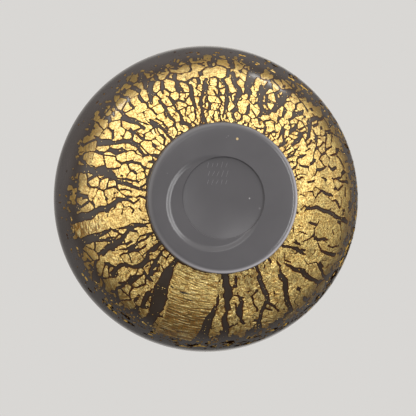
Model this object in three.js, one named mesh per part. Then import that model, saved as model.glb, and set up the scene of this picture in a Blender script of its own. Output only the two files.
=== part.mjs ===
// Sake cup of blown glass: an open round bowl on a low solid foot, all one piece.
// Millimetres, +Z up. The origin is on the cup's axis, in the plane that the foot stands on.
import * as THREE from 'three';

const point = (x, y) => new THREE.Vector2(x, y);
const radians = THREE.MathUtils.degToRad;

// Driving dimensions of the bowl
const rimDiameter = 90;
const cupHeight = 38;
const wall = 3;                  // thickness of the wall at the lip, which is rounded right over
const flankFootWall = 4.5;       // thickness of the wall where the bowl leaves the foot
const floorThickness = 4.6;      // glass on the axis, from the pontil dish up to the floor of the bowl
const flankStartSlope = 31;      // degrees from the horizontal, where the bowl leaves the foot
const rimSlope = 80;             // degrees from the horizontal, just below the lip
const flankFullness = 0.42;      // how far the outline holds each end slope, as a share of its chord

// Driving dimensions of the foot
const footDiameter = 41;
const footHeight = 4.2;
const footEdgeRound = 1.7;       // soft outer edge of the foot
const footTaper = 0.45;          // how much the foot narrows, on the radius, up to the bowl
const hollowDiameter = 26.4;     // shallow hollow that the iron left under the foot
const hollowDepth = 0.4;         // how far it lies above the flat ring that the cup stands on
const hollowAside = point(-2.6, 1.5);  // its middle, which is off the cup's axis
const shoulderRun = 1.8;         // width of the soft step at its edge
const pontilDiameter = 22.4;     // dish ground later, on the axis
const pontilStep = 0.7;          // crisp edge of that dish, up from the ring
const pontilSag = 0.8;           // depth of the dish inside its edge

// How finely the round shapes are faceted
const turns = 72;
const flankSteps = 12;
const lipSteps = 3;
const floorSteps = 4;
const roundSteps = 4;
const dishSteps = 3;
const ringSteps = 8;

// Points on an arc about (r, z), from one angle to another; 0 points outwards and 90 upwards.
function arc(r, z, radius, from, to, steps) {
  const points = [];
  for (let i = 0; i <= steps; i += 1) {
    const angle = radians(from + (to - from) * i / steps);
    points.push(point(r + radius * Math.cos(angle), z + radius * Math.sin(angle)));
  }
  return points;
}

// Underneath: the ground dish, then level glass as far out as the hollow reaches.
function underside() {
  const dishRadius = pontilDiameter / 2;
  const sphere = (dishRadius ** 2 + pontilSag ** 2) / (2 * pontilSag);
  const reach = hollowDiameter / 2 + hollowAside.length();
  const points = [];
  for (let i = 0; i <= dishSteps; i += 1) {
    const r = dishRadius * i / dishSteps;
    const drop = sphere - Math.sqrt(sphere ** 2 - r ** 2);
    points.push(point(r, pontilStep + pontilSag - drop));
  }
  for (let i = 0; i <= ringSteps; i += 1) {
    points.push(point(dishRadius + (reach - dishRadius) * i / ringSteps, 0));
  }
  return points;
}

// Presses the hollow into the level glass round the dish: full depth, then a soft step to its edge.
function pressHollow(geometry) {
  const places = geometry.getAttribute('position');
  for (let i = 0; i < places.count; i += 1) {
    const away = Math.hypot(places.getX(i) - hollowAside.x, places.getY(i) - hollowAside.y);
    const share = THREE.MathUtils.clamp((hollowDiameter / 2 - away) / shoulderRun, 0, 1);
    if (Math.abs(places.getZ(i)) < 1e-6) {
      places.setZ(i, hollowDepth * (1 - Math.cos(Math.PI * share)) / 2);
    }
  }
}

// The foot's soft outer edge and its side, which narrows a little up to the bowl.
function footSide() {
  const radius = footDiameter / 2;
  const points = arc(radius - footEdgeRound, footEdgeRound, footEdgeRound, -90, 0, roundSteps);
  points.push(point(radius - footTaper, footHeight));
  return points;
}

// The centre of the lip's round, and where the outside of the wall runs into it.
const lipRound = wall / 2;
const lipRadius = rimDiameter / 2 - lipRound;
const lipHeight = cupHeight - lipRound;
const lipLean = 90 - rimSlope;

// The outside of the bowl: one curve that leaves the foot flat and comes up steep to the lip.
function flankCurve() {
  const start = point(footDiameter / 2 - footTaper, footHeight);
  const end = arc(lipRadius, lipHeight, lipRound, -lipLean, -lipLean, 1)[0];
  const reach = flankFullness * start.distanceTo(end);
  const out = radians(flankStartSlope);
  const up = radians(rimSlope);
  const startPull = point(start.x + reach * Math.cos(out), start.y + reach * Math.sin(out));
  const endPull = point(end.x - reach * Math.cos(up), end.y - reach * Math.sin(up));
  return new THREE.CubicBezierCurve(start, startPull, endPull, end);
}

// The inside of the wall: the outside moved in by the wall, which thickens towards the foot.
function innerWall(flank) {
  const points = [];
  for (let i = flankSteps - 1; i >= 0; i -= 1) {
    const share = i / flankSteps;
    const outside = flank.getPoint(share);
    const along = flank.getTangent(share);
    const depth = wall + (flankFootWall - wall) * (1 - share) ** 2;
    points.push(point(outside.x - depth * along.y, outside.y + depth * along.x));
  }
  return points;
}

// The floor: from the foot of the inner wall, level by the axis.
function bowlFloor(wallFoot) {
  const level = pontilStep + pontilSag + floorThickness;
  const corner = wallFoot.x - (wallFoot.y - level) / Math.tan(radians(flankStartSlope));
  const pulls = [point(corner, level), point(corner / 2, level)];
  const curve = new THREE.CubicBezierCurve(wallFoot, ...pulls, point(0, level));
  return curve.getPoints(floorSteps).slice(1);
}

function cupProfile() {
  const flank = flankCurve();
  const inside = innerWall(flank);
  return [
    ...underside(),
    ...footSide(),
    ...flank.getPoints(flankSteps).slice(1),
    ...arc(lipRadius, lipHeight, lipRound, 0, 90, lipSteps),
    ...arc(lipRadius, lipHeight, lipRound, 90, 180 - lipLean, lipSteps).slice(1),
    ...inside,
    ...bowlFloor(inside.at(-1)),
  ];
}

function sakeCup() {
  const geometry = new THREE.LatheGeometry(cupProfile(), turns);
  geometry.rotateX(Math.PI / 2);
  pressHollow(geometry);
  const smokyGlass = new THREE.MeshStandardMaterial({ color: '#636164', roughness: 0.3, metalness: 0 });
  const cup = new THREE.Mesh(geometry, smokyGlass);
  cup.name = 'sake_cup';
  return cup;
}

const model = new THREE.Group();
model.add(sakeCup());

export default model;
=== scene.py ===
"""Looks of a sake cup of blown glass, with crackled gold leaf sealed in the wall outside."""
import itertools
import math

import bpy
import numpy as np
from mathutils import Matrix, Vector


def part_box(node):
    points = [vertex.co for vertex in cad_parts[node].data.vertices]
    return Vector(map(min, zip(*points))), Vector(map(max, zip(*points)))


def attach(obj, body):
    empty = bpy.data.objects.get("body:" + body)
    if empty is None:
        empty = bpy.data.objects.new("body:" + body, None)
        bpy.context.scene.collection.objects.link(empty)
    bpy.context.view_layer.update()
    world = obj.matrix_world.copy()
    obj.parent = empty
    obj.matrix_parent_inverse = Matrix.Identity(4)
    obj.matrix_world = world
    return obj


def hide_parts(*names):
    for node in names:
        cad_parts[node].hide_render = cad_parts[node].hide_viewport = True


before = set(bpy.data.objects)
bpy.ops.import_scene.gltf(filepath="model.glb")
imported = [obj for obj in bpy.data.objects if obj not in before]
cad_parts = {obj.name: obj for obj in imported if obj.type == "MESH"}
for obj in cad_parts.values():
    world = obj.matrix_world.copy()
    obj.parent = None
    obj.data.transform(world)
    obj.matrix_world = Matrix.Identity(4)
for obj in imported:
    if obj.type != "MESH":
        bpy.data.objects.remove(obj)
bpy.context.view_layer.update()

MM = 0.001
NODE = "sake_cup"
BODY = "root"

# The cup's outline, in millimetres; its rim and height are the frame's
BOX_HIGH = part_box(NODE)[1]
RIM_RADIUS = BOX_HIGH[0] / MM
HEIGHT = BOX_HIGH[2] / MM
WALL = 3.0
FLANK_FOOT_WALL = 4.5
FLOOR_THICKNESS = 4.6
FLANK_START_SLOPE = math.radians(31)
RIM_SLOPE = math.radians(80)
FLANK_FULLNESS = 0.42
FOOT_RADIUS = 20.5
FOOT_HEIGHT = 4.2
FOOT_EDGE_ROUND = 1.7
FOOT_TAPER = 0.45
HOLLOW_RADIUS = 13.2
HOLLOW_DEPTH = 0.4
HOLLOW_ASIDE = (-2.6, 1.5)
SHOULDER_RUN = 1.8
PONTIL_RADIUS = 11.2
PONTIL_STEP = 0.7
PONTIL_SAG = 0.8
PONTIL_BEVEL = 0.3
LIP_ROUND = WALL / 2

# How finely the cup's outline is drawn, and how often it is turned
DISH_POINTS, RING_POINTS, EDGE_STEPS = 13, 34, 12
FLANK_POINTS, LIP_STEPS, FLOOR_POINTS = 49, 20, 17
TURNS = 256

# The camera of the photograph: it looks at the foot from below, a little from the side
TILT = math.radians(6.8)
FOOT_DISTANCE = 384.0
FOOT_ASIDE = (4.2, 2.7)         # where the foot's centre is from the view's axis, right and up
FRAME_PX = 416
RIM_PX = 152.4                  # the rim's radius in the picture
SENSOR = 36.0
FOCAL_PX = RIM_PX * (FOOT_DISTANCE + HEIGHT) / RIM_RADIUS


def arc(r, z, radius, start, end, steps):
    """Points on an arc about (r, z); angles in degrees, 0 outwards and 90 up."""
    angles = np.radians(np.linspace(start, end, steps + 1))
    return np.column_stack([r + radius * np.cos(angles), z + radius * np.sin(angles)])


def bezier(points, t):
    """Points of a cubic Bezier curve, and its unit tangents, at the shares t."""
    p0, p1, p2, p3 = (np.asarray(p, float) for p in points)
    t = np.asarray(t, float)[:, None]
    u = 1 - t
    place = u ** 3 * p0 + 3 * u * u * t * p1 + 3 * u * t * t * p2 + t ** 3 * p3
    along = u * u * (p1 - p0) + 2 * u * t * (p2 - p1) + t * t * (p3 - p2)
    return place, along / np.linalg.norm(along, axis=1)[:, None]


def flank_handles():
    """The four points of the curve that the outside of the bowl follows."""
    lean = math.pi / 2 - RIM_SLOPE
    start = np.array([FOOT_RADIUS - FOOT_TAPER, FOOT_HEIGHT])
    end = np.array([RIM_RADIUS - LIP_ROUND + LIP_ROUND * math.cos(lean),
                    HEIGHT - LIP_ROUND - LIP_ROUND * math.sin(lean)])
    reach = FLANK_FULLNESS * np.linalg.norm(end - start)
    out = np.array([math.cos(FLANK_START_SLOPE), math.sin(FLANK_START_SLOPE)])
    up = np.array([math.cos(RIM_SLOPE), math.sin(RIM_SLOPE)])
    return start, start + reach * out, end - reach * up, end


def dish_height(r):
    """How high the ground dish under the foot lies, at a distance from the axis."""
    sphere = (PONTIL_RADIUS ** 2 + PONTIL_SAG ** 2) / (2 * PONTIL_SAG)
    return PONTIL_STEP + PONTIL_SAG - sphere + np.sqrt(sphere ** 2 - r ** 2)


def cup_outline():
    """The cup's half section from the axis underneath, over the lip, to the axis inside."""
    r = np.linspace(0, PONTIL_RADIUS - PONTIL_BEVEL, DISH_POINTS)
    dish = np.column_stack([r, dish_height(r)])
    reach = HOLLOW_RADIUS + math.hypot(*HOLLOW_ASIDE)
    level = np.column_stack([np.linspace(PONTIL_RADIUS, reach, RING_POINTS), np.zeros(RING_POINTS)])
    edge = arc(FOOT_RADIUS - FOOT_EDGE_ROUND, FOOT_EDGE_ROUND, FOOT_EDGE_ROUND, -90, 0, EDGE_STEPS)
    t = np.linspace(0, 1, FLANK_POINTS)
    flank, along = bezier(flank_handles(), t)
    depth = WALL + (FLANK_FOOT_WALL - WALL) * (1 - t) ** 2
    inside = flank + depth[:, None] * np.column_stack([-along[:, 1], along[:, 0]])
    lean = 90 - math.degrees(RIM_SLOPE)
    lip = arc(RIM_RADIUS - LIP_ROUND, HEIGHT - LIP_ROUND, LIP_ROUND, -lean, 180 - lean, LIP_STEPS)
    top = PONTIL_STEP + PONTIL_SAG + FLOOR_THICKNESS
    wall_foot = inside[0]
    corner = wall_foot[0] - (wall_foot[1] - top) / math.tan(FLANK_START_SLOPE)
    pulls = [(corner, top), (corner / 2, top)]
    floor, _ = bezier([wall_foot, *pulls, (0, top)], np.linspace(0, 1, FLOOR_POINTS))
    return np.vstack([dish, level, edge, flank, lip[1:], inside[-2::-1], floor[1:]])


def connect(tree, node, inputs):
    """Fills a node's inputs, in order or by name or number: each with a value, a socket or a node."""
    for key, given in (inputs if isinstance(inputs, dict) else dict(enumerate(inputs))).items():
        if isinstance(given, bpy.types.Node):
            given = next(socket for socket in given.outputs if socket.enabled)
        if isinstance(given, bpy.types.NodeSocket):
            tree.links.new(given, node.inputs[key])
        else:
            node.inputs[key].default_value = given


def add(tree, kind, inputs=(), **settings):
    """Adds a node with its settings, and fills its inputs."""
    node = tree.nodes.new(kind)
    for name, value in settings.items():
        setattr(node, name, value)
    connect(tree, node, inputs)
    return node


def colour(hex_code):
    """An sRGB hex colour as the linear values that a shader takes."""
    parts = [int(hex_code[i:i + 2], 16) / 255 for i in (0, 2, 4)]
    return tuple(c / 12.92 if c <= 0.04045 else ((c + 0.055) / 1.055) ** 2.4 for c in parts) + (1.0,)


def bumps(size):
    """The scale of a noise whose bumps are about so many millimetres."""
    return 1 / (size * MM)


def fade(tree, *spans, share=1.0):
    """A share, faded smoothly. Each span is a measure, its low and high ends, and the values there."""
    for span in spans:
        part = add(tree, "ShaderNodeMapRange", span, interpolation_type="SMOOTHSTEP")
        share = add(tree, "ShaderNodeMath", [share, part], operation="MULTIPLY")
    return share


def patches(tree, place, size, low, high, first=0, second=1):
    """Soft patches of about so many millimetres, with one value inside them and another between."""
    cloud = add(tree, "ShaderNodeTexNoise", {"Vector": place, "Scale": bumps(size), "Detail": 3})
    return fade(tree, (cloud, low, high, first, second))


def paint(tree, ground, *layers):
    """A ground colour with layers over it, each a share and a colour: a hex code, a socket or a node."""
    for share, tint in layers:
        ground, tint = (colour(part) if isinstance(part, str) else part for part in (ground, tint))
        ground = add(tree, "ShaderNodeMix", {0: share, 6: ground, 7: tint}, data_type="RGBA")
    return ground


def new_material(name):
    """A new material, its node tree, its shader and a place on the object."""
    material = bpy.data.materials.new(name)
    material.use_nodes = True
    tree = material.node_tree
    place = add(tree, "ShaderNodeTexCoord").outputs["Object"]
    return material, tree, tree.nodes["Principled BSDF"], place


# Seeds and specks in the glass of the foot: millimetres right and down in the picture, radius, tint
FOOT_SPECKS = [(3.7, -15.9, 0.42, "B09A70"), (1.3, -16.7, 0.26, "5C5A5D"), (0.8, -16.3, 0.18, "5C5A5D"),
               (7.2, 0.1, 0.26, "8A888B"), (9.9, 2.8, 0.34, "5E5C5F"), (-15.2, -6.6, 0.18, "5E5C5F")]
EDGE_HIGHLIGHT_SIDE = (0.64, 0.77, 0)   # the way from the axis to where the painted highlight on the foot's edge is brightest


def from_upright(tree, place, x, y):
    """How far a place is from the upright line through (x, y), which is in millimetres."""
    aside = add(tree, "ShaderNodeVectorMath", [place, (x * MM, y * MM, 0)], operation="SUBTRACT")
    flat = add(tree, "ShaderNodeVectorMath", [aside, (1, 1, 0)], operation="MULTIPLY")
    return add(tree, "ShaderNodeVectorMath", [flat], operation="LENGTH")


def smoky_glass():
    """Opaque smoky grey soda glass, blown: a smooth deep gloss on the bowl, a satin foot, and a painted
    highlight on the foot's rounded edge.
    """
    material, tree, shader, place = new_material("smoky soda glass, blown")
    height = add(tree, "ShaderNodeSeparateXYZ", [place]).outputs["Z"]
    normal = add(tree, "ShaderNodeNewGeometry").outputs["Normal"]
    facing = add(tree, "ShaderNodeSeparateXYZ", [normal]).outputs["Z"]
    under_leaf = fade(tree, (height, 14 * MM, 30 * MM, 1, 0), (facing, -0.15, 0.05, 1, 0))
    flank = paint(tree, "3B3635", (under_leaf, "281D13"))
    bowl = fade(tree, (height, 3.4 * MM, 4.6 * MM, 0, 1))
    layers = [(bowl, flank), (patches(tree, place, 14, 0.35, 0.65, 0, 0.08), "6A686C")]
    for x, y, radius, tint in FOOT_SPECKS:
        apart = from_upright(tree, place, x, y)
        speck = fade(tree, (apart, 0.6 * radius * MM, radius * MM, 1, 0), (height, 2.2 * MM, 2.6 * MM, 1, 0))
        layers.append((speck, tint))
    # Painted highlight: a pale band round the foot's rounded edge, faint all round and brightest toward one
    # side, standing in for a reflection
    across = add(tree, "ShaderNodeVectorMath", [place, EDGE_HIGHLIGHT_SIDE], operation="DOT_PRODUCT")
    painted_edge_highlight = fade(tree, (height, 0, 0.5 * MM, 0, 1), (height, 0.6 * MM, 1.2 * MM, 1, 0),
                  (across, -10 * MM, 22 * MM, 0.06, 1),
                  (from_upright(tree, place, 0, 0), 18.7 * MM, 19 * MM, 0, 1))
    ripple = add(tree, "ShaderNodeTexNoise", {"Vector": place, "Scale": bumps(9), "Detail": 2})
    rippled = add(tree, "ShaderNodeBump", {"Strength": 0.25, "Distance": 0.2 * MM, "Height": ripple})
    connect(tree, shader, {"Base Color": paint(tree, "4A494C", *layers, (painted_edge_highlight, "ABA9AF")),
                           "Roughness": fade(tree, (height, 3.4 * MM, 4.6 * MM, 0.2, 0.16)),
                           "Normal": rippled, "IOR": 1.52, "Specular IOR Level": 0.3})
    return material


def gold_leaf():
    """Beaten gold leaf under clear glass: crumpled metal that sparkles, with a smooth gloss over it. Its
    colour carries painted shade in the folds, creases and grain hollows, painted highlights on the fold
    ridges, and a painted haze of reflection toward its fringe.
    """
    material, tree, shader, place = new_material("gold leaf, beaten and fired in")
    thin, rumpled, painted_haze = (add(tree, "ShaderNodeAttribute", attribute_name=name).outputs["Fac"]
                             for name in ("thin", "rumpled", "painted_haze"))
    folded, lean = (add(tree, "ShaderNodeAttribute", attribute_name=name).outputs["Vector"]
                    for name in ("folded", "lean"))
    patch = patches(tree, place, 2.2, 0.38, 0.62)
    bright = paint(tree, "FFE796", (patch, "FDDE8A"))
    worn = paint(tree, "8E7232", (patch, "624C20"))
    folds = add(tree, "ShaderNodeTexNoise", {"Vector": folded, "Scale": 1, "Detail": 4, "Distortion": 0.4})
    # Painted shade in the valleys of the folds and painted highlights on their ridges, on the same folds as
    # the relief bump
    dark = fade(tree, (folds, 0.41, 0.50, 0.95, 0), share=rumpled)
    painted_ridge_highlight = fade(tree, (folds, 0.55, 0.60, 0, 1), share=rumpled)
    # Painted shade: dark lines along a network of creases in the leaf
    stir = add(tree, "ShaderNodeTexNoise", {"Vector": place, "Scale": bumps(0.8)}).outputs["Color"]
    stir = add(tree, "ShaderNodeVectorMath", {0: stir, "Scale": 0.6 * MM}, operation="SCALE")
    bent = add(tree, "ShaderNodeVectorMath", [place, stir], operation="ADD")
    apart = add(tree, "ShaderNodeTexVoronoi", {"Vector": bent, "Scale": bumps(1.5)},
                feature="DISTANCE_TO_EDGE")
    painted_crease_shade = fade(tree, (apart, 0, 0.09, 0.7, 0), share=patches(tree, place, 1.6, 0.42, 0.56))
    grain = add(tree, "ShaderNodeTexNoise", {"Vector": place, "Scale": bumps(0.42), "Detail": 2})
    # Painted shade in the hollows of the beaten grain, the same grain as the fine bump below
    beaten = fade(tree, (grain, 0.39, 0.53, 0.8, 0))
    tone = paint(tree, bright, (thin, worn), (dark, "5A3C0E"), (painted_ridge_highlight, "FFEDAC"), (painted_crease_shade, "7C561C"),
                 (beaten, "A4722C"), (painted_haze, "80682F"))
    normal = add(tree, "ShaderNodeNewGeometry").outputs["Normal"]
    leaning = add(tree, "ShaderNodeVectorMath", [normal, lean], operation="ADD")
    leaning = add(tree, "ShaderNodeVectorMath", [leaning], operation="NORMALIZE")
    relief = add(tree, "ShaderNodeBump", {"Distance": 0.9 * MM, "Strength": rumpled, "Height": folds,
                                          "Normal": leaning})
    hammered = add(tree, "ShaderNodeBump", {"Strength": 1, "Distance": 0.12 * MM, "Height": grain,
                                            "Normal": relief})
    connect(tree, shader, {"Base Color": tone, "Metallic": fade(tree, (painted_haze, 0, 1, 1, 0.8)),
                           "Roughness": patches(tree, place, 1.2, 0.35, 0.65, 0.36, 0.50),
                           "Normal": hammered, "Coat Weight": 0.5, "Coat Roughness": 0.1, "Coat IOR": 1.5})
    return material


def dark_leaf_edge():
    """A dark reddish-brown edge round each flake of leaf, where it runs down into the glass."""
    material, tree, shader, place = new_material("dark edge round the leaf")
    tone = paint(tree, "2A1106", (patches(tree, place, 4, 0.4, 0.6), "3A1C0A"))
    connect(tree, shader, {"Base Color": tone, "Roughness": 0.6, "Specular IOR Level": 0.1})
    return material


def crumb_gold():
    """Loose crumbs of the same leaf, brown where they burned thin."""
    material, tree, shader, place = new_material("gold leaf, crumbs")
    height = add(tree, "ShaderNodeSeparateXYZ", [place]).outputs["Z"]
    bright = paint(tree, "F4D488", (patches(tree, place, 1.2, 0.35, 0.65), "C89A44"))
    brown = paint(tree, "8C6A30", (patches(tree, place, 1.5, 0.4, 0.6), "3A2212"))
    tone = paint(tree, bright, (fade(tree, (height, 20 * MM, 25 * MM, 0, 1)), brown))
    connect(tree, shader, {"Base Color": tone, "Metallic": 1, "Roughness": 0.3})
    return material


def burned_gold():
    """Leaf burned dark where it ran up to the rim, with a little of it still pale."""
    material, tree, shader, place = new_material("gold leaf, burned")
    tone = paint(tree, "1C0E05", (patches(tree, place, 2.2, 0.52, 0.58), "B8964E"))
    connect(tree, shader, {"Base Color": tone, "Roughness": 0.8, "Specular IOR Level": 0})
    return material


def scratched_glass():
    """The same glass where it was scratched: paler and matt."""
    material, tree, shader, place = new_material("smoky glass, scratched")
    mottle = add(tree, "ShaderNodeTexNoise", {"Vector": place, "Scale": bumps(0.6), "Detail": 3})
    connect(tree, shader, {"Base Color": paint(tree, "605E62", (mottle, "727075")), "Roughness": 0.55})
    return material


def new_object(name, data):
    """An object in the scene, at the origin."""
    result = bpy.data.objects.new(name, data)
    bpy.context.collection.objects.link(result)
    return result


def point_carrier(points, edges=()):
    """An object that only carries points, given in millimetres, to geometry nodes."""
    mesh = bpy.data.meshes.new("carrier")
    mesh.from_pydata((points * MM).tolist(), list(edges), [])
    return new_object("carrier", mesh)


def geometry_tree(name, given, kind, numbers):
    """A geometry-nodes tree with named inputs: a geometry, and numbers with their values."""
    tree = bpy.data.node_groups.new(name, "GeometryNodeTree")
    tree.interface.new_socket(given, in_out="INPUT", socket_type="NodeSocketGeometry")
    for label, value in numbers.items():
        tree.interface.new_socket(label, in_out="INPUT", socket_type=kind).default_value = value
    tree.interface.new_socket("Piece", in_out="OUTPUT", socket_type="NodeSocketGeometry")
    return tree, add(tree, "NodeGroupInput").outputs


def plain_mesh(carrier, tree, shape, material, name):
    """Ends a geometry-nodes tree in a real mesh of one material, runs it on the carrier, and returns
    the result as a plain mesh object."""
    whole = add(tree, "GeometryNodeRealizeInstances", [shape])
    painted = add(tree, "GeometryNodeSetMaterial", {"Geometry": whole, "Material": material})
    add(tree, "NodeGroupOutput", [painted])
    modifier = carrier.modifiers.new("nodes", "NODES")
    modifier.node_group = tree
    graph = bpy.context.evaluated_depsgraph_get()
    mesh = bpy.data.meshes.new_from_object(carrier.evaluated_get(graph))
    carrier.modifiers.remove(modifier)
    bpy.data.objects.remove(carrier)
    mesh.name = name
    return new_object(name, mesh)


def mesh_object(name, vertices, faces, materials, face_materials=None, smooth=True):
    """A mesh object from points in millimetres."""
    mesh = bpy.data.meshes.new(name)
    mesh.from_pydata((np.asarray(vertices) * MM).tolist(), [], faces)
    for material in materials:
        mesh.materials.append(material)
    if face_materials is not None:
        mesh.polygons.foreach_set("material_index", face_materials)
    mesh.polygons.foreach_set("use_smooth", [smooth] * len(mesh.polygons))
    mesh.update()
    return new_object(name, mesh)


def turned_shape(rows, turns):
    """Geometry nodes that turn a row of profile points about Z into a closed body."""
    tree, given = geometry_tree("turned from a profile", "Profile", "NodeSocketInt",
                                {"Profile Points": rows, "Turns": turns})
    columns = add(tree, "ShaderNodeMath", [given["Turns"], 1], operation="ADD")
    grid = add(tree, "GeometryNodeMeshGrid", {"Vertices X": columns, "Vertices Y": given["Profile Points"]})
    index = add(tree, "GeometryNodeInputIndex")
    row = add(tree, "ShaderNodeMath", [index, given["Profile Points"]], operation="MODULO")
    column = add(tree, "ShaderNodeMath", [index, given["Profile Points"]], operation="DIVIDE")
    column = add(tree, "ShaderNodeMath", [column], operation="FLOOR")
    turn = add(tree, "ShaderNodeMath", [column, given["Turns"]], operation="DIVIDE")
    angle = add(tree, "ShaderNodeMath", [turn, 2 * math.pi], operation="MULTIPLY")
    sample = add(tree, "GeometryNodeSampleIndex", {
        "Geometry": given["Profile"], "Value": add(tree, "GeometryNodeInputPosition"), "Index": row},
        data_type="FLOAT_VECTOR", domain="POINT")
    turned = add(tree, "ShaderNodeVectorRotate", {"Vector": sample, "Axis": (0, 0, 1), "Angle": angle},
                 rotation_type="AXIS_ANGLE")
    moved = add(tree, "GeometryNodeSetPosition", {"Geometry": grid, "Position": turned})
    return tree, add(tree, "GeometryNodeMergeByDistance", {"Geometry": moved, "Distance": 1e-6})


def glass_body(material):
    """The cup's glass, as smooth as the real one, with the hollow pressed under the foot."""
    outline = cup_outline()
    points = np.column_stack([outline[:, 0], np.zeros(len(outline)), outline[:, 1]])
    carrier = point_carrier(points, [(i, i + 1) for i in range(len(points) - 1)])
    cup = plain_mesh(carrier, *turned_shape(len(points), TURNS), material, "cup_glass")
    places = np.empty(len(cup.data.vertices) * 3)
    cup.data.vertices.foreach_get("co", places)
    places = places.reshape(-1, 3)
    level = np.abs(places[:, 2]) < 1e-9
    away = np.hypot(*(places[:, :2] / MM - HOLLOW_ASIDE).T)
    share = np.clip((HOLLOW_RADIUS - away) / SHOULDER_RUN, 0, 1)
    places[level, 2] = HOLLOW_DEPTH * MM * (1 - np.cos(np.pi * share[level])) / 2
    cup.data.vertices.foreach_set("co", places.ravel())
    cup.data.update()
    cup.data.polygons.foreach_set("use_smooth", [True] * len(cup.data.polygons))
    cup.data.set_sharp_from_angle(angle=math.radians(40))
    return cup


# The wall of the bowl outside, unrolled: angle round the cup and millimetres up along the wall
WALL_POINTS, WALL_ALONG = bezier(flank_handles(), np.linspace(0, 1, 400))
WALL_RUN = np.concatenate([[0], np.cumsum(np.linalg.norm(np.diff(WALL_POINTS, axis=0), axis=1))])


def wall_radius(run):
    return np.interp(run, WALL_RUN, WALL_POINTS[:, 0])


def wall_way(run):
    """The way up along the wall: its share outwards and its share upwards."""
    return (np.interp(run, WALL_RUN, WALL_ALONG[:, k]) for k in (0, 1))


def on_wall(angle, run, lift=0.0):
    """The place in space of a point of the unrolled wall, lifted off it by some millimetres."""
    angle, run = np.broadcast_arrays(angle, run)
    along_r, along_z = wall_way(run)
    r = wall_radius(run) + lift * along_z
    z = np.interp(run, WALL_RUN, WALL_POINTS[:, 1]) - lift * along_r
    return np.stack([r * np.cos(angle), r * np.sin(angle), z], axis=-1)


def camera_axes():
    """The photograph's camera: the ways right, up and back, then its place, in millimetres."""
    right = np.array([math.cos(TILT), 0, -math.sin(TILT)])
    up = np.array([0, -1.0, 0])
    back = np.array([-math.sin(TILT), 0, -math.cos(TILT)])
    place = FOOT_DISTANCE * back - FOOT_ASIDE[0] * right - FOOT_ASIDE[1] * up
    return right, up, back, place


def in_picture(points):
    """Where points in space are in the photograph, in its pixels."""
    right, up, back, place = camera_axes()
    away = points - place
    depth = -(away @ back)
    middle = FRAME_PX / 2
    return np.stack([middle + FOCAL_PX * (away @ right) / depth,
                     middle - FOCAL_PX * (away @ up) / depth], axis=-1)


# The foot's edge and the rim as the photograph shows them, in pixels: centre, half width and height
FOOT_SEEN = ((222.7, 197.4), (74.6, 76.5))
RIM_SEEN = ((205.1, 199.3), (152.3, 150.2))
SEEN_ANGLES = np.radians(np.arange(0, 360, 0.5))
SEEN_RUNS = np.linspace(0, WALL_RUN[-1] * 0.9, 160)
SEEN_GRID = in_picture(on_wall(SEEN_ANGLES[None, :], SEEN_RUNS[:, None]))


def wall_place(angle, share):
    """Finds the unrolled place of a crack that was read off the photograph: the angle clockwise from
    the right, and the share of the way from the foot's edge to the rim."""
    turn = math.radians(angle)
    spoke = np.array([math.cos(turn), math.sin(turn)])
    foot, rim = (np.array(centre) + np.array(half) * spoke for centre, half in (FOOT_SEEN, RIM_SEEN))
    seen = foot + share * (rim - foot)
    nearest = np.argmin(np.sum((SEEN_GRID - seen) ** 2, axis=-1))
    row, column = np.unravel_index(nearest, SEEN_GRID.shape[:2])
    return SEEN_ANGLES[column], SEEN_RUNS[row]


def scatter(*whole, seed):
    """A fixed random number from 0 to 1 for each set of whole numbers."""
    with np.errstate(over="ignore"):
        mixed = np.full(np.broadcast(*whole).shape, seed, dtype=np.uint32)
        for number in whole:
            mixed = (mixed ^ np.asarray(number).astype(np.int64).astype(np.uint32)) * np.uint32(0x9E3779B1)
            mixed ^= mixed >> np.uint32(15)
        mixed = mixed * np.uint32(0x85EBCA77)
        mixed ^= mixed >> np.uint32(13)
    return mixed / 2.0 ** 32


def smooth_step(x):
    x = np.clip(x, 0, 1)
    return x * x * (3 - 2 * x)


def soft_noise(points, *layers):
    """Smooth noise at points in space, in layers: how high it goes, the size of its bumps, its seed."""
    result = 0
    for height, size, seed in layers:
        scaled = points / size
        cell = np.floor(scaled).astype(np.int64)
        part = smooth_step(scaled - cell)
        total = 0
        for corner in itertools.product((0, 1), repeat=3):
            weight = np.prod([part[..., k] if c else 1 - part[..., k] for k, c in enumerate(corner)], axis=0)
            total = total + weight * scatter(*(cell[..., k] + corner[k] for k in range(3)), seed=seed)
        result = result + height * (2 * total - 1)
    return result
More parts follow.
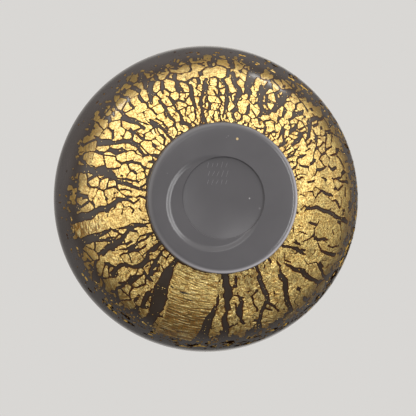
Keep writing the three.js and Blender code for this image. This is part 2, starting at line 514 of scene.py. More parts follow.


# The wide gaps in the leaf, read off the photograph: (angle, share, width in degrees)
WIDE_GAPS = [
    [(9.4, .05, .4), (6, .12, 1.2), (7, .18, 2.2), (5.5, .35, 2.6), (7, .5, 2.8), (8, .65, 3), (9.5, .85, 4)],
    [(27, .27, .8), (23, .36, 1), (20, .39, 1.6), (16.5, .36, .8), (14, .39, .5)],
    [(21.5, .39, 1.6), (22, .47, 2.4), (20, .56, 1.6), (19.5, .62, .8)],
    [(23.5, .49, 1), (25.5, .58, 1.6), (25, .7, 3), (24, .82, 4.2)],
    [(29.5, .08, .5), (29, .13, .6), (30.5, .22, .5)],
    [(39, .0, 1.8), (36.5, .1, 2.2), (34.8, .17, 1.4), (33, .24, 2.8), (32.8, .32, 2), (32.2, .41, .8)],
    [(34, .43, .5), (35, .52, .7), (33, .56, .7), (31.5, .61, .8), (32, .7, 2), (34, .85, 3)],
    [(44.5, .21, .8), (43.2, .33, 2.2), (41.5, .43, 2.8), (39, .53, 3.6), (39.5, .62, 3.4), (37.5, .8, 3.6)],
    [(47.5, .11, .8), (47.8, .2, 2), (50, .3, 2.8), (49.5, .43, 3), (51.5, .52, 3.4),
     (53, .66, 4), (54, .85, 5)],
    [(52.8, .0, 2.4), (52.3, .05, 2), (52, .09, .6)],
    [(63.3, .0, 2.8), (61.8, .13, 2), (63.5, .17, 4.2), (62.8, .3, 3.6), (62, .45, 3.2), (62.2, .54, 3)],
    [(62.5, .54, 2.4), (60, .65, 1.6), (58.5, .75, 1.6)],
    [(63.5, .54, 2), (66.5, .63, 3), (68, .75, 4), (68.5, .86, 4)],
    [(67, .31, .8), (70, .38, 1.4), (69.5, .48, 1), (68.5, .6, 1.4)],
    [(78.5, .28, .8), (77, .36, 1.8), (75.5, .43, 2.6), (77.5, .53, 4), (76.2, .64, 1.6), (75, .72, 1.6)],
    [(88.2, .0, 5), (86, .1, 5.6), (84, .2, 5), (84, .3, 5.6), (84.6, .38, 3), (83.3, .5, 1.6), (84, .6, 3.6),
     (83, .72, 4), (84, .88, 5)],
    [(90, .28, .8), (89.5, .4, 1.8), (90.5, .5, 3), (91.5, .62, 4.6), (92, .75, 6), (94, .9, 6)],
    [(127.5, .0, 3), (126.8, .08, 4.4), (124.8, .2, 6), (121.5, .35, 7.6), (119, .48, 8), (117, .6, 7),
     (116, .72, 6), (116, .86, 6)],
    [(123, .6, 2), (124, .52, 3), (122, .7, 3)],
    [(138.5, .08, 1), (136.5, .15, 2.6), (134, .22, 3), (132.8, .3, 1.4), (131, .37, 1)],
    [(145, .0, 1.4), (144, .13, 2.2), (142, .2, 2), (139, .25, 3), (138.5, .33, 3.4), (140.5, .42, 2),
     (143.5, .46, 2), (144, .53, 2.4), (143, .64, 2.6)],
    [(134, .38, 1), (134.5, .5, 2.8), (135, .58, 2), (137.5, .65, 1.6)],
    [(129, .38, 2.4), (135, .37, 1), (127, .38, 1)],
    [(153.5, .0, 1), (154, .07, 2), (151.5, .14, 1.4), (151.5, .22, 1.2), (150.2, .3, 3),
     (150.5, .37, 1.4), (152.3, .43, 1)],
    [(160, .0, 1.4), (161, .08, 1.4), (161.7, .18, 2.8), (159.5, .28, 2.4), (157, .37, 2.6), (155, .46, 3.4),
     (154.5, .55, 3.4), (152.5, .62, 2)],
    [(162.2, .05, .4), (163, .2, .6), (163.5, .32, .5), (163.7, .45, .4)],
    [(162.8, .44, 1), (162.2, .5, 2.4), (161.8, .62, 3.6), (161, .75, 4.4), (160.5, .85, 4.4)],
    [(179, .09, 1), (176.5, .15, 1.4), (178.5, .19, 1.4), (179.5, .29, 2), (177, .37, 3), (175, .43, 3.8),
     (174.5, .52, 3), (172.5, .6, 3.8), (172, .7, 4.2), (171.5, .82, 4)],
    [(176, .73, 3), (176.5, .82, 3)],
    [(185, .0, .8), (186.5, .08, 2), (187.5, .17, 2), (189, .25, 2.6), (188.5, .34, 2)],
    [(190, .36, 2), (193, .4, 4), (193.5, .48, 4.6), (192.5, .57, 3), (193.5, .66, 3.4), (193, .78, 4)],
    [(201, .03, .8), (201.5, .1, .7), (198.5, .15, .7), (196, .17, .5)],
    [(211.5, .0, 2.4), (210.5, .1, 1.8), (209, .16, 2.2), (212, .26, 2.4), (213.2, .35, 3), (211.5, .44, 3),
     (209, .5, 2), (208, .58, 3.4), (206.5, .66, 3)],
    [(206.5, .35, .8), (204.8, .43, 2.4), (205, .52, 2.2)],
    [(228, .0, 2), (229, .09, 2), (230, .18, 2.2), (229.8, .28, 2.2), (229.5, .36, 1.2)],
    [(223.5, .33, 1.6), (224, .42, 2), (223, .52, 3.2), (222.5, .6, 2.4)],
    [(236, .06, .8), (238.3, .14, 1.6), (239, .24, 2.2), (240, .34, 1.6), (240.3, .48, 1.4)],
    [(246.3, .0, 1.6), (245.5, .06, 2), (243, .11, 2.2), (245, .2, 1.6), (245.5, .34, 1.6), (246, .46, 1.6)],
    [(255, .0, 1), (257.5, .1, 2.6), (259, .2, 2), (261.5, .33, 1.4), (264.5, .45, 2), (267, .58, 2)],
    [(255.5, .22, 1), (256, .33, 2), (257.5, .42, 3), (259, .53, 1.6)],
    [(237, .51, 2.4), (239, .58, 2.2), (241.5, .66, 3.6), (243, .72, 4)],
    [(244, .53, 1), (245.5, .6, 1.8), (247, .68, 1)],
    [(253.5, .48, 1.6), (253, .6, 2), (253.5, .7, 2)],
    [(271, .04, 1.2), (273.5, .15, 1.8), (274.5, .27, 2), (276.5, .38, 2.6), (276, .5, 2), (275, .6, 1.4)],
    [(278, .04, 1.8), (277.8, .15, 1.4), (281, .22, 2), (281.3, .33, 3), (283.5, .43, 3.6),
     (280.5, .55, 3), (280, .7, 2.6)],
    [(286, .43, 1), (287, .55, 4), (288.5, .65, 5), (289.5, .78, 5.6), (290.5, .9, 6)],
    [(288.5, .15, 1.4), (288.5, .25, 2), (289, .32, 1)],
    [(297.5, .07, .8), (296.5, .2, 2), (297.5, .29, 3), (294.8, .38, 3), (295, .5, 3),
     (296, .6, 3), (297, .72, 3.6)],
    [(303.5, .0, 2), (303.4, .1, 1.6), (301, .17, .8)],
    [(298.5, .3, 2), (302.5, .36, 1.6), (304.3, .46, 3), (305, .57, 4), (306, .68, 4), (307, .8, 3.4)],
    [(319, .0, 2.4), (319.8, .09, 2.4), (320, .18, 1)],
    [(317, .14, 1.6), (316, .2, 2.2), (314.5, .26, .8)],
    [(319, .26, 1), (318.6, .36, 2.2), (318.3, .45, 1.6)],
    [(315, .46, 1.4), (314, .55, 3.6), (316, .63, 3), (316.7, .7, 1.6)],
    [(329, .03, 1.2), (329.3, .1, 1.4), (328.5, .19, .8)],
    [(325, .18, 1), (324.4, .28, 3), (324, .4, 2.4)],
    [(327.5, .4, .8), (326.5, .5, 2.4), (323.5, .58, 3), (322, .67, 3.4), (322.5, .8, 3)],
    [(338.5, .0, 1.8), (337, .1, 1.2), (334, .14, 1.4), (333.6, .25, 2.2), (333.5, .3, 1)],
    [(339, .37, .8), (336, .42, .8), (335, .48, 1), (332, .55, .8), (330, .6, .8)],
    [(332, .32, .8), (332.2, .42, .8)],
    [(344.2, .03, .7), (344.7, .14, .7), (346, .22, .5)],
    [(348, .27, .5), (347.3, .33, .8), (344.7, .38, 1.6), (345, .45, 2), (345, .57, .6)],
    [(361, .3, 1), (358, .34, 1), (356.4, .4, 1.8), (357.5, .5, 2), (358.5, .58, 1.2)],
    [(329, .61, 1), (331, .7, 1), (330.5, .8, 2)],
    [(337, .63, 1.4), (336.5, .75, 2)],
    [(340, .68, 1), (340.5, .8, 1.8)],
    [(350.5, .68, 1), (352, .75, 1.8), (353, .85, 3)],
    [(355.5, .62, 1.8), (355.5, .72, 1.6)],
]
# The big sheet of leaf that stayed whole: its left and right edge, as (share, angle)
SHEET_LEFT = [(0, 91.5), (.25, 91.2), (.5, 93), (.75, 95.5), (1, 98)]
SHEET_RIGHT = [(0, 126), (.15, 122.5), (.35, 118), (.6, 114.5), (1, 113.5)]
# The narrow strip that did: its edges, and the share where it ends
STRIP_LEFT, STRIP_RIGHT, STRIP_TOP = 163.8, 170.3, .84

# The next tables go round the cup, by the same angle in degrees. How readily the leaf crackled, as
# the share of the cracks that opened
CRACKLED = [(0, .22), (30, .15), (60, .18), (80, .25), (93, .2), (126, .75), (160, .85), (172, .7),
            (190, .82), (215, .86), (300, .86), (318, .72), (335, .5), (350, .3), (360, .22)]
# Where it is crushed smaller still, near the foot
CRUSHED = [(0, .15), (60, .1), (130, .4), (230, .45), (260, .8), (320, .6), (340, .35), (360, .15)]
# How much further up the wall it reaches than LEAF_END, in millimetres
REACH = [(0, 2.6), (20, 1.4), (45, .4), (80, .4), (105, -.6), (140, 1), (165, .5), (190, 0), (220, .6),
         (240, 1.4), (270, .8), (300, -.4), (320, 1), (340, 2.6), (360, 2.6)]
# How strongly a painted haze of reflection dulls the leaf where it breaks up
PAINTED_HAZE_ROUND = [(0, .4), (45, .3), (90, .4), (135, .7), (180, .8), (225, 1.1), (270, 1.1), (315, .9), (360, .4)]
# How much more it breaks up there than elsewhere
BROKEN = [(0, .1), (30, .16), (60, .1), (85, .1), (105, .22), (125, .05), (200, 0), (220, .12), (240, .06),
          (260, .26), (290, .2), (330, .05), (360, .1)]
# How much the wide gaps narrow further up the wall
HELD = [(0, .5), (60, .45), (85, .25), (125, .35), (170, .1), (300, .15), (335, .5), (360, .5)]
# How deeply the leaf is rumpled
RUMPLED = [(0, .35), (45, .5), (60, .85), (135, .85), (150, .45), (170, .4), (360, .35)]

COLUMNS = 68                    # cells of the crackle round the cup
FINE_COLUMNS = 110              # the same where it is crushed smaller
CELL_TALL = 1.15                # their height up the wall, as a share of their width
LEAF_START = 0.85               # where the leaf begins, in millimetres up along the wall from the foot
FRINGE_START = 19.5             # where it begins to break up
LEAF_END = 30.8                 # where it stops
# How high a streak of leaf has to be to stay, as (share of the way between those two, height): where
# it crackled, and where it stayed whole
BREAK_UP = [(-.4, -1.2), (-.1, -.9), (.1, -.65), (.3, -.45), (.5, -.22), (.7, .02), (.85, .22), (1, .55),
            (1.1, 1.2)]
WHOLE_ENDS = [(.8, -1.2), (.92, -.6), (1, .2), (1.06, 1.2)]

CELL_WIDTH = 2 * math.pi / COLUMNS * WALL_POINTS[:, 0]
CELL_ROWS = np.concatenate([[0], np.cumsum(np.diff(WALL_RUN) / (CELL_TALL * CELL_WIDTH[1:]))])


def read(table, place):
    """Reads a table of (place, value) pairs."""
    return np.interp(place, *zip(*table))


def crackle(columns, rows, count, opened, wide, seed):
    """How far each point is from the nearest crack between cells, in cells, and a number for each
    cell; cracks up the wall are wide, cracks round it narrow, and some never opened."""
    column, row = np.floor(columns).astype(int), np.floor(rows).astype(int)
    sites = []
    for i, j in itertools.product(range(-2, 3), repeat=2):
        a, b = column + i, row + j
        key = np.mod(a, count)
        sites.append((a + 0.5 + 0.8 * (scatter(key, b, seed=seed) - 0.5),
                      b + 0.5 + 0.8 * (scatter(key, b, seed=seed + 1) - 0.5), key * 1000 + b))
    own = np.argmin(np.stack([(columns - x) ** 2 + (rows - y) ** 2 for x, y, _ in sites]), axis=0)
    own_x, own_y, own_key = (np.take_along_axis(np.stack(values), own[None], 0)[0] for values in zip(*sites))
    result = np.full(columns.shape, 9.0)
    for x, y, key in sites:
        dx, dy = x - own_x, y - own_y
        gap = np.hypot(dx, dy)
        other = gap > 1e-6
        gap = np.where(other, gap, 1)
        edge = ((own_x + x) / 2 - columns) * dx / gap + ((own_y + y) / 2 - rows) * dy / gap
        pair = np.minimum(key, own_key), np.maximum(key, own_key)
        upward = (dx / gap) ** 2
        width = wide * (0.11 + 0.16 * upward) * (0.45 + 1.1 * scatter(*pair, seed=seed + 2))
        width = width * smooth_step((opened - scatter(*pair, seed=seed + 3)) / 0.15 + 0.5)
        result = np.where(other, np.minimum(result, edge - width / 2 + 1e-3), result)
    return result, scatter(own_key, seed=seed + 4)


def gap_distance(angle, run, radius, gap):
    """Millimetres from a wide gap's edge, less than nothing inside it."""
    path = []
    for a, s, w in gap:
        narrowed = 1 - read(HELD, a % 360) * smooth_step((s - 0.5) / 0.25)
        path.append(wall_place(a, s) + (math.radians(w) / 2 * float(narrowed),))
    best = np.full(angle.shape, 99.0)
    for (a0, r0, w0), (a1, r1, w1) in zip(path, path[1:]):
        a1 = a0 + (a1 - a0 + math.pi) % (2 * math.pi) - math.pi
        offset = (angle - a0 + math.pi) % (2 * math.pi) - math.pi
        x, y = offset * radius, run - r0
        step_x, step_y = (a1 - a0) * radius, r1 - r0
        along = np.clip((x * step_x + y * step_y) / (step_x ** 2 + step_y ** 2 + 1e-9), 0, 1)
        away = np.hypot(x - along * step_x, y - along * step_y)
        best = np.minimum(best, away - (w0 + along * (w1 - w0)) * radius)
    return best


def flake_ways(angle, run, draw, sheet, whole):
    """The way that each flake's wrinkles run, as a place in their noise, and how the flake leans."""
    along = (draw - 0.5) * math.pi
    across = np.degrees(angle) % 360 * 0.55         # roughly the millimetres round the wall
    folded = np.stack([(across * np.cos(along) + run * np.sin(along)) / (1.7 + 1.7 * sheet),
                       (run * np.cos(along) - across * np.sin(along)) / 0.54, draw * 20], axis=-1)
    spin, much = draw * 40, (0.03 + 0.09 * np.mod(draw * 7, 1)) * (1 - whole)
    along_r, along_z = wall_way(run)
    round_part, up_part = much * np.cos(spin), much * np.sin(spin)
    lean = np.stack([up_part * along_r * np.cos(angle) - round_part * np.sin(angle),
                     up_part * along_r * np.sin(angle) + round_part * np.cos(angle),
                     up_part * along_z], axis=-1)
    return {"folded": folded, "lean": lean}


def leaf_field(angle, run):
    """Above nothing where there is leaf, in millimetres from its edge; then a mask of the big sheet,
    how thin and rumpled the leaf is, how much painted haze of reflection dulls it, and the ways of its
    flakes."""
    radius = wall_radius(run)
    place = on_wall(angle, run)
    degrees = np.degrees(angle) % 360
    share = np.clip((radius - FOOT_RADIUS) / (RIM_RADIUS - FOOT_RADIUS), 0, 1)
    ragged_angle = angle + soft_noise(place, (0.32, 2.2, 21), (0.16, 0.9, 22)) / radius
    ragged_run = run + soft_noise(place, (0.32, 2.2, 23), (0.16, 0.9, 24))

    # What stayed whole: degrees inside the sheet and the strip, and a mask of both
    in_sheet = np.minimum(degrees - read(SHEET_LEFT, share), read(SHEET_RIGHT, share) - degrees)
    in_strip = np.where(share < STRIP_TOP, np.minimum(degrees - STRIP_LEFT, STRIP_RIGHT - degrees), -9)
    whole = smooth_step(np.maximum(in_sheet, in_strip) / 0.8 + 0.5)
    sheet = smooth_step(in_sheet / 0.6)

    # The cracks: the crackle, the finer one near the foot, and the wide gaps
    turn = ragged_angle / (2 * math.pi)
    row = np.interp(ragged_run, WALL_RUN, CELL_ROWS)
    cell = radius * 2 * math.pi / COLUMNS
    cells, draw = crackle(turn * COLUMNS, row, COLUMNS, read(CRACKLED, degrees) * (1 - whole), 1.0, 11)
    crushed = smooth_step(1.1 + soft_noise(place, (1.6, 6, 27)) - 2.2 * share) * (1 - whole)
    crushed = crushed * read(CRUSHED, degrees)
    bits, _ = crackle(turn * FINE_COLUMNS, row * FINE_COLUMNS / COLUMNS, FINE_COLUMNS, crushed, 0.8, 51)
    field = np.minimum(cells * cell, bits * cell * COLUMNS / FINE_COLUMNS)
    for gap in WIDE_GAPS:
        field = np.minimum(field, gap_distance(ragged_angle, ragged_run, radius, gap))

    # The ends: streaks of leaf up the wall that run out between where it breaks up and where it stops
    end = LEAF_END + read(REACH, degrees) + soft_noise(place, (0.9, 7, 33))
    end = end - 1.2 * smooth_step(in_sheet / 2) - 3.5 * smooth_step(in_strip / 2)
    out = (run - FRINGE_START) / (end - FRINGE_START)
    level = read(BREAK_UP, out) + read(BROKEN, degrees) * smooth_step((out + 0.1) / 0.4)
    level = np.where(whole > 0.5, read(WHOLE_ENDS, out), level)
    streak = soft_noise(place * np.array([1, 1, 0.28]), (0.6, 1.5, 31), (0.6, 0.65, 32))
    field = np.minimum(np.minimum(field, (streak - level) * 0.8), ragged_run - LEAF_START)

    thin = np.maximum(smooth_step((out + 0.05) / 0.6), 0.95 * sheet * smooth_step((share - 0.2) / 0.4))
    # Painted reflection: a dull olive haze over the leaf toward its broken fringe, for the glass's gloss seen
    # at a slant
    painted_haze = 0.85 * smooth_step((out + 0.3) / 0.9) * (1 - 0.8 * whole) * read(PAINTED_HAZE_ROUND, degrees)
    rumpled = 0.95 * smooth_step(in_strip + 0.5) * smooth_step((share - 0.35) / 0.2)
    rumpled = np.maximum(read(RUMPLED, degrees), rumpled)
    draw = np.where((in_sheet > -1) | (in_strip > -1), 0.5, draw)
    shares = {"thin": thin, "rumpled": rumpled, "painted_haze": painted_haze}
    return field, sheet, shares, flake_ways(angle, run, draw, sheet, whole)


def leaf_relief(angle, run, sheet):
    """The crumple of the leaf: its height above the glass, in millimetres."""
    place = on_wall(angle, run)
    fine = soft_noise(place, (0.018, 1.3, 41), (0.010, 0.7, 42))
    across = np.stack([angle * 30 / 5.0, run / 0.9 + soft_noise(place, (0.5, 3, 43)), angle * 0], axis=-1)
    folds = soft_noise(across, (0.05, 1.0, 44)) + soft_noise(across * 1.9, (0.03, 1.0, 45))
    return 0.05 + fine + sheet * folds


LEAF_TURNS, LEAF_ROWS = 760, 118        # the grid that the leaf is cut out of, round and up the wall
LEAF_TOP = LEAF_END + 4.5               # how far up the wall that grid reaches
HEM = 0.34                              # how far the dark edge runs down into the glass
CORNERS = [(0, 0), (1, 0), (1, 1), (0, 1)]


def cut_out(field, angle, run):
    """Cuts the leaf out of a grid on the wall, along the line where its field is nothing. Returns its
    faces and the pieces of its edge, as point numbers, and the angles and runs of the edge's points."""
    turns, rows = field.shape
    inside = field > 0
    count = field.size
    added = []

    def shifted(grid, i, j):
        return np.roll(grid, -i, axis=0)[:, j:rows - 1 + j]

    def crossings(changed, i, j):
        """Numbers the points where the leaf's edge crosses the grid lines that go the way (i, j)."""
        nonlocal count
        first = np.nonzero(changed)
        second = (first[0] + i) % turns, first[1] + j
        part = field[first] / (field[first] - field[second])
        ahead = angle[first] + (angle[second] - angle[first] + math.pi) % (2 * math.pi) - math.pi
        added.append((angle[first] + part * (ahead - angle[first]),
                      run[first] + part * (run[second] - run[first])))
        numbers = np.full(field.shape, -1)
        numbers[first] = count + np.arange(len(part))
        count += len(part)
        return numbers

    numbers = np.arange(field.size).reshape(field.shape)
    case = sum(shifted(inside, i, j).astype(int) << k for k, (i, j) in enumerate(CORNERS))
    rounds = crossings(inside != np.roll(inside, -1, axis=0), 1, 0)
    ups = crossings(inside[:, :-1] != inside[:, 1:], 0, 1)
    points = {"corner": [shifted(numbers, i, j) for i, j in CORNERS],
              "edge": [shifted(rounds, 0, 0), shifted(ups, 1, 0), shifted(rounds, 0, 1), shifted(ups, 0, 0)]}
    faces, edges = [], []
    for kind in range(1, 16):
        at = np.nonzero(case == kind)
        if not len(at[0]):
            continue
        walk = []
        for k in range(4):
            here, ahead = kind >> k & 1, kind >> (k + 1) % 4 & 1
            if here:
                walk.append(("corner", k))
            if here != ahead:
                walk.append(("edge", k))
        lists = [points[what][k][at] for what, k in walk]
        faces.extend(zip(*(column.tolist() for column in lists)))
        for n, (what, _) in enumerate(walk):
            following = (n + 1) % len(walk)
            if what == walk[following][0] == "edge":
                edges.append(np.column_stack([lists[n], lists[following]]))
    return faces, np.vstack(edges), *(np.concatenate(values) for values in zip(*added))


def flakes(material, edge_material):
    """All the flakes of leaf: one skin each, with a dark edge that runs down into the glass."""
    angles = np.arange(LEAF_TURNS) / LEAF_TURNS * 2 * math.pi
    runs = np.linspace(0.05, LEAF_TOP, LEAF_ROWS)
    step = runs[1] - runs[0]
    angle, run = np.meshgrid(angles, runs, indexing="ij")
    field, sheet, shares, ways = leaf_field(angle, run)
    faces, edges, edge_angle, edge_run = cut_out(field, angle, run)
    edge = (np.round(edge_angle / (2 * math.pi) * LEAF_TURNS).astype(int) % LEAF_TURNS,
            np.clip(np.round((edge_run - runs[0]) / step).astype(int), 0, LEAF_ROWS - 1))
    every_angle, every_run = np.append(angle, edge_angle), np.append(run, edge_run)
    lift = leaf_relief(every_angle, every_run, np.append(sheet, sheet[edge]))
    top = on_wall(every_angle, every_run, lift)

    round_step = 2 * wall_radius(run) * 2 * math.pi / LEAF_TURNS
    slope = (np.roll(field, -1, 0) - np.roll(field, 1, 0)) / round_step
    out = -np.column_stack([slope[edge], np.gradient(field, step, axis=1)[edge]])
    out /= np.linalg.norm(out, axis=1)[:, None] + 1e-9
    margin = HEM * (1 - 0.6 * shares["thin"][edge])
    hem_run = np.clip(edge_run + margin * out[:, 1], 0.0, None)
    hem = on_wall(edge_angle + margin * out[:, 0] / wall_radius(edge_run), hem_run, -0.01)
    p, q = edges.T
    down = len(edge_angle)              # from an edge point's number to that of the hem below it
    hem_faces = np.column_stack([q, p, p + down, q + down])

    used = np.zeros(len(top) + len(hem), bool)
    for face in faces:
        used[list(face)] = True
    used[hem_faces.ravel()] = True
    number = np.cumsum(used) - 1
    kept = [tuple(number[list(face)]) for face in faces] + [tuple(face) for face in number[hem_faces]]
    leaf = mesh_object("gold_leaf", np.vstack([top, hem])[used], kept, [material, edge_material],
                       [0] * len(faces) + [1] * len(hem_faces))
    for name, grid in shares.items():
        values = np.concatenate([grid.ravel(), grid[edge], grid[edge]])[used]
        leaf.data.attributes.new(name, "FLOAT", "POINT").data.foreach_set("value", values.astype(np.float32))
    for name, grid in ways.items():
        values = np.vstack([grid.reshape(-1, 3), grid[edge], grid[edge]])[used]
        leaf.data.attributes.new(name, "FLOAT_VECTOR", "POINT").data.foreach_set(
            "vector", values.astype(np.float32).ravel())
    return leaf


# How thickly the crumbs of leaf lie beyond its edge, round the cup
CRUMBLED = [(0, .8), (20, 1), (130, 1), (150, .5), (180, .15), (250, .15), (280, .35), (310, .8),
            (345, 1), (360, .8)]
CRUMB_BAND = 5.5                # millimetres of wall beyond the leaf that they reach
FRINGE_BAND = 4                 # and how far back into the leaf's fringe
# The same for the burned flecks nearer the rim
RIM_FLECKED = [(0, .6), (25, 1), (75, 1), (110, .8), (140, .35), (160, 0), (280, 0), (315, .5), (360, .6)]
RIM_BAND = 5.2
CRUMB_TRIES = 11000             # places on the wall that are tried for all of them


def crumb_places():
    """Where crumbs of leaf lie beyond its edge, specks of it in the gaps, and burned flecks by the rim."""
    tries = np.arange(CRUMB_TRIES)
    angle = scatter(tries, seed=61) * 2 * math.pi
    run = scatter(tries, seed=62) * (LEAF_END + RIM_BAND)
    degrees = np.degrees(angle)
    field = leaf_field(angle[:, None], run[:, None])[0][:, 0]
    beyond = (run - LEAF_END + FRINGE_BAND) / (CRUMB_BAND + FRINGE_BAND)
    beyond = beyond - read(REACH, degrees) / (CRUMB_BAND + FRINGE_BAND)
    draw = scatter(tries, seed=63)
    thick = read(CRUMBLED, degrees) * np.clip(1.1 - beyond, 0, 1)
    fringe = (beyond > 0) & (field < -0.3) & (draw < 0.6 * thick)
    specks = (beyond < 0.1) & (field < -0.2) & (draw < 0.14)
    drawn = scatter(tries, seed=64) < 0.18 * read(RIM_FLECKED, degrees)
    band = (run > LEAF_END - 1.5) & (field < -0.2) & drawn
    return [(angle[kept], run[kept]) for kept in (fringe, specks, band)]


def chips(smallest, largest, spin, thick):
    """Geometry nodes that lay a small chip flat on each point, each turned and sized at random."""
    tree, given = geometry_tree("chips on points", "Places", "NodeSocketFloat",
                                {"Smallest": smallest * MM, "Largest": largest * MM, "Spin": spin})
    points = add(tree, "GeometryNodeMeshToPoints", {"Mesh": given["Places"]})
    chip = add(tree, "GeometryNodeMeshCone", {"Vertices": 6, "Radius Top": 0.65, "Radius Bottom": 1.0,
                                              "Depth": thick})
    way = add(tree, "GeometryNodeInputNamedAttribute", {"Name": "outward"}, data_type="FLOAT_VECTOR")
    flat = add(tree, "FunctionNodeAlignRotationToVector", {"Vector": way}, axis="Z")
    upright = add(tree, "FunctionNodeAlignRotationToVector", {"Rotation": flat, "Vector": (0, 0, 1)},
                  axis="X", pivot_axis="Z")
    draw = add(tree, "FunctionNodeRandomValue", {2: -1.0, 3: 1.0, "Seed": 5})
    around = add(tree, "ShaderNodeMath", [draw, given["Spin"]], operation="MULTIPLY")
    turned = add(tree, "FunctionNodeRotateRotation", {
        "Rotation": upright, "Rotate By": add(tree, "ShaderNodeCombineXYZ", {"Z": around})},
        rotation_space="LOCAL")
    size = add(tree, "FunctionNodeRandomValue", {2: given["Smallest"], 3: given["Largest"], "Seed": 6})
    slim = add(tree, "FunctionNodeRandomValue", {"Min": (0.5, 0.9, 0.7), "Max": (1.0, 1.6, 1.0), "Seed": 7},
               data_type="FLOAT_VECTOR")
    scale = add(tree, "ShaderNodeVectorMath", {0: slim, "Scale": size}, operation="SCALE")
    return tree, add(tree, "GeometryNodeInstanceOnPoints", {"Points": points, "Instance": chip,
                                                            "Rotation": turned, "Scale": scale})


def crumbs(name, places, material, *sizes):
    """Crumbs of gold leaf, each a chip that lies flat on the wall."""
    carrier = point_carrier(on_wall(*places, 0.02))
    outward = on_wall(*places, 1.0) - on_wall(*places, 0.0)
    carrier.data.attributes.new("outward", "FLOAT_VECTOR", "POINT").data.foreach_set(
        "vector", outward.astype(np.float32).ravel())
    return plain_mesh(carrier, *chips(*sizes), material, name)


# Rows of shallow strokes in the dish, where the cup has been written on
STROKE_ROWS, STROKES, STROKE_WIDTH = 3, 5, 0.13
STROKE_PLACE = (-1.6, -6.6)     # their middle, right and down in the picture
STROKE_STEP = (1.25, 2.3)


def strokes():
    """The rows of strokes: low ridges, flush with the glass at both sides."""
    vertices, faces = [], []
    share = np.linspace(-1, 1, 9)
    half = STROKE_WIDTH / 2 * np.sqrt(1 - 0.9 * share ** 2)
    for row, column in itertools.product(range(STROKE_ROWS), range(STROKES)):
        stroke = np.array(row * STROKES + column)
        x0 = STROKE_PLACE[0] + (column - (STROKES - 1) / 2) * STROKE_STEP[0] + 0.25 * (row % 2)
        y0 = STROKE_PLACE[1] + (row - (STROKE_ROWS - 1) / 2) * STROKE_STEP[1]
        tall = 1.2 + 0.7 * scatter(stroke, seed=71)
        lean = 0.25 + 0.3 * scatter(stroke, seed=72)
        x = x0 - lean * share * tall / 2
        y = y0 + share * tall / 2
        way = np.stack([np.gradient(x), np.gradient(y)])
        way /= np.hypot(*way)
        base = len(vertices)
        for k in range(len(share)):
            for side, proud in ((-1, -0.01), (0, 0.02), (1, -0.01)):
                px, py = x[k] - side * half[k] * way[1][k], y[k] + side * half[k] * way[0][k]
                vertices.append((px, py, float(dish_height(math.hypot(px, py))) - proud))
        for k, side in itertools.product(range(len(share) - 1), (0, 1)):
            a = base + 3 * k + side
            faces.append((a, a + 3, a + 4, a + 1))
    return mesh_object("foot_strokes", vertices, faces, [scratched_glass()])


def photo_camera():
    """The camera of the photograph."""
    data = bpy.data.cameras.new("camera")
    data.sensor_width = SENSOR
    data.lens = FOCAL_PX / FRAME_PX * SENSOR
    data.clip_start = 0.01
    camera = new_object("camera", data)
    right, up, back, place = camera_axes()
    camera.matrix_world = Matrix([*zip(right, up, back, place * MM), (0, 0, 0, 1)])
    bpy.context.scene.camera = camera


def softbox(name, place, target, size, power):
    """A rectangular soft light that faces the target."""
    data = bpy.data.lights.new(name, "AREA")
    data.shape = "RECTANGLE"
    data.size, data.size_y = size
    data.energy = power
    light = new_object(name, data)
    light.rotation_euler = (Vector(place) - Vector(target)).to_track_quat("Z", "Y").to_euler()
    light.location = place
    return light


def seen_from(azimuth, elevation, distance):
    """A place at these angles from the cup's middle, in degrees; the photograph's top is at -90."""
    a, e = math.radians(azimuth), math.radians(elevation)
    level = distance * math.cos(e)
    return level * math.cos(a), level * math.sin(a), distance * math.sin(e)


CUP_MIDDLE = (0, 0, 0.015)
LIGHT_DISTANCE = 0.45
# Soft lights for the highlights: azimuth, elevation, width and height in metres, radiance
HIGHLIGHTS = {"crescent": (0, -58, 0.34, 0.12, 9.0), "dish": (-95, -74, 0.14, 0.10, 3.0),
              "streak_left": (-132, 12, 0.10, 0.03, 12.0), "streak_right": (-60, 14, 0.12, 0.03, 12.0)}


def lights():
    softbox("overhead", (0, 0, 0.6), CUP_MIDDLE, (0.4, 0.4), 2.5).visible_glossy = False
    for name, (azimuth, elevation, width, height, radiance) in HIGHLIGHTS.items():
        place = seen_from(azimuth, elevation, LIGHT_DISTANCE)
        power = math.pi * width * height * radiance
        softbox(name, place, CUP_MIDDLE, (width, height), power).visible_camera = False


BRIGHT_SIDE = math.radians(-108)        # azimuth that the soft light is strongest from
SOFT_LIGHT = (0.62, 0.36, 2.35)         # its strength on the far side, from below and level, and on that side


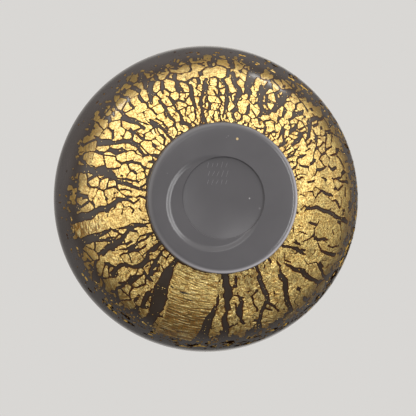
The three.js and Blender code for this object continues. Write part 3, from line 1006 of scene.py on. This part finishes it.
def studio_world():
    """A pale studio for the eye. For light and reflections it is soft all round, brightest low down
    and toward the top left of the photograph, and it fades upwards."""
    world = bpy.data.worlds.new("studio")
    world.use_nodes = True
    tree = world.node_tree
    tree.nodes.clear()
    way = add(tree, "ShaderNodeTexCoord").outputs["Generated"]
    height = add(tree, "ShaderNodeSeparateXYZ", [way]).outputs["Z"]
    toward = add(tree, "ShaderNodeVectorMath", [way, (math.cos(BRIGHT_SIDE), math.sin(BRIGHT_SIDE), 0)],
                 operation="DOT_PRODUCT")
    far = fade(tree, (height, -0.5, 0.0, *SOFT_LIGHT[:2]))
    light = fade(tree, (toward, -0.65, 0.75, far, SOFT_LIGHT[2]), (height, -1.0, -0.6, 0.35, 1.0),
                 (height, 0.05, 0.47, 1.0, 0.0))
    for low, high, more in ((0.2, 0.55, 0.3), (0.65, 0.85, -0.12), (0.9, 0.96, 0.8)):
        upper = fade(tree, (height, low, high, 0, more))
        light = add(tree, "ShaderNodeMath", [light, upper], operation="ADD")
    lit = add(tree, "ShaderNodeBackground", {"Color": colour("FAF6F0"), "Strength": light})
    pale = add(tree, "ShaderNodeBackground", {"Color": colour("E9E7E4"), "Strength": 0.85})
    seen = add(tree, "ShaderNodeLightPath").outputs["Is Camera Ray"]
    both = add(tree, "ShaderNodeMixShader", [seen, lit, pale])
    add(tree, "ShaderNodeOutputWorld", {"Surface": both})
    bpy.context.scene.world = world
    bpy.context.scene.view_settings.view_transform = "Standard"     # keeps the gold's yellow


FLOOR_HALF = 1500
FLOOR_BELOW = 0.03              # just clear of the ring that stands on it


def floor():
    """A plain pale floor that shows from above only, so that the camera can look at the foot."""
    material, tree, shader, place = new_material("matt pale board")
    mottle = add(tree, "ShaderNodeTexNoise", {"Vector": place, "Scale": bumps(60), "Detail": 3})
    connect(tree, shader, {"Base Color": paint(tree, "DEDCD8", (mottle, "E4E2DE")), "Roughness": 0.8})
    behind = add(tree, "ShaderNodeNewGeometry").outputs["Backfacing"]
    clear = add(tree, "ShaderNodeBsdfTransparent")
    both = add(tree, "ShaderNodeMixShader", [behind, shader, clear])
    connect(tree, tree.nodes["Material Output"], {"Surface": both})
    ends = ((-1, -1), (1, -1), (1, 1), (-1, 1))
    corners = [(FLOOR_HALF * x, FLOOR_HALF * y, -FLOOR_BELOW) for x, y in ends]
    board = mesh_object("floor", corners, [(0, 1, 2, 3)], [material], smooth=False)
    board.visible_shadow = False
    board.visible_diffuse = False
    board.visible_glossy = False
    board.visible_transmission = False


def dress():
    photo_camera()
    glass = smoky_glass()
    cup = glass_body(glass)
    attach(cup, BODY)
    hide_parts(NODE)
    leaf = flakes(gold_leaf(), dark_leaf_edge())
    leaf.visible_diffuse = False        # no golden glow on the floor
    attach(leaf, BODY)
    fringe, specks, band = crumb_places()
    crumb = crumb_gold()
    # Their smallest and largest radius in millimetres, how far they turn, and how thick they are for that
    for name, places, material, *sizes in (("leaf_crumbs", fringe, crumb, 0.18, 0.5, math.pi, 0.3),
                                           ("leaf_specks", specks, crumb, 0.07, 0.15, math.pi, 0.4),
                                           ("rim_flecks", band, burned_gold(), 0.45, 1.2, 0.4, 0.04)):
        loose = crumbs(name, places, material, *sizes)
        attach(loose, BODY)
    marks = strokes()
    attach(marks, BODY)
    floor()
    lights()
    studio_world()


dress()
